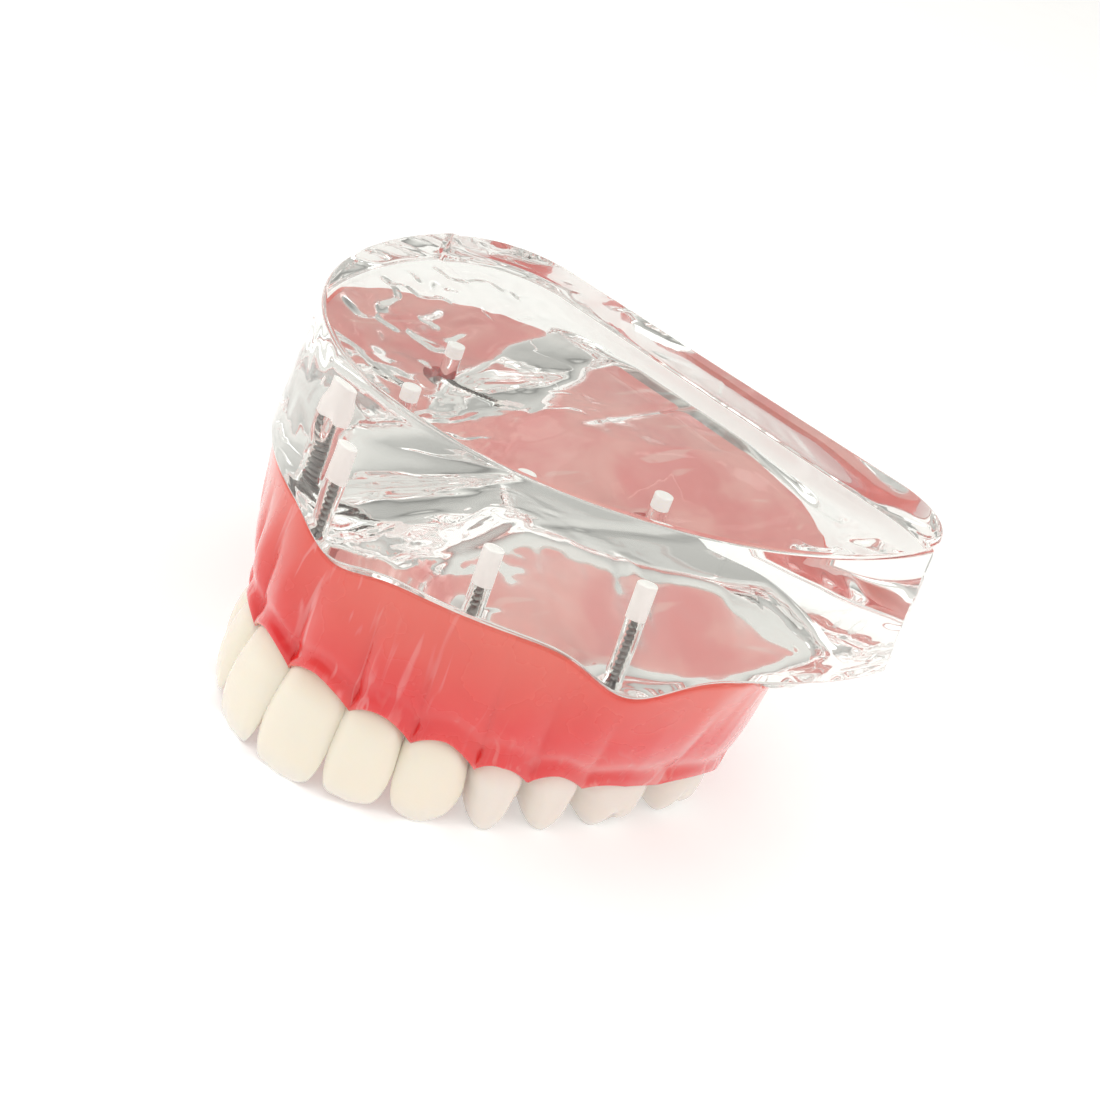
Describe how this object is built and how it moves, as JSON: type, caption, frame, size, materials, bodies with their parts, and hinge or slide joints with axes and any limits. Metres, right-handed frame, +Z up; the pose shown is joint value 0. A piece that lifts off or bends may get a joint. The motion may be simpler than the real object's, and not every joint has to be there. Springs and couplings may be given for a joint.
{
  "type": "typodont model",
  "caption": "Upper-jaw teaching typodont: clear acrylic jaw block with slender ball-headed implants and a pink push-fit full denture with separate teeth.",
  "frame": {"origin": "centre of the bounding box at its base, on the plane the tooth tips rest on", "axes": "+Z up from the tooth tips to the flat base face of the clear block, which faces up; -Y towards the incisors; +X towards the patient's left side"},
  "size_m": [0.0756, 0.0592, 0.0398],
  "materials": {
    "clear_acrylic": "polished clear cast acrylic",
    "pink_acrylic": "glossy pink denture acrylic",
    "tooth_resin": "glossy tooth-coloured resin",
    "implant_metal": "machined titanium",
    "housing_metal": "satin stainless",
    "ring_rubber": "matte black"
  },
  "bodies": {
    "denture": {"denture_base": "pink_acrylic", "left_central_incisor": "tooth_resin", "left_lateral_incisor": "tooth_resin", "left_canine": "tooth_resin", "left_first_premolar": "tooth_resin", "left_second_premolar": "tooth_resin", "left_first_molar": "tooth_resin", "left_second_molar": "tooth_resin", "right_central_incisor": "tooth_resin", "right_lateral_incisor": "tooth_resin", "right_canine": "tooth_resin", "right_first_premolar": "tooth_resin", "right_second_premolar": "tooth_resin", "right_first_molar": "tooth_resin", "right_second_molar": "tooth_resin", "housing_1": "housing_metal", "housing_2": "housing_metal", "housing_3": "housing_metal", "housing_4": "housing_metal", "o_ring_1": "ring_rubber", "o_ring_2": "ring_rubber", "o_ring_3": "ring_rubber", "o_ring_4": "ring_rubber"},
    "jaw_block": {"clear_base": "clear_acrylic", "implant_1": "implant_metal", "implant_2": "implant_metal", "implant_3": "implant_metal", "implant_4": "implant_metal"}
  },
  "joints": [
    {"name": "denture_pull_off", "type": "slide", "parent": "denture", "child": "jaw_block", "axis": [0, 0, 1], "range_m": [0, 0.035]}
  ]
}
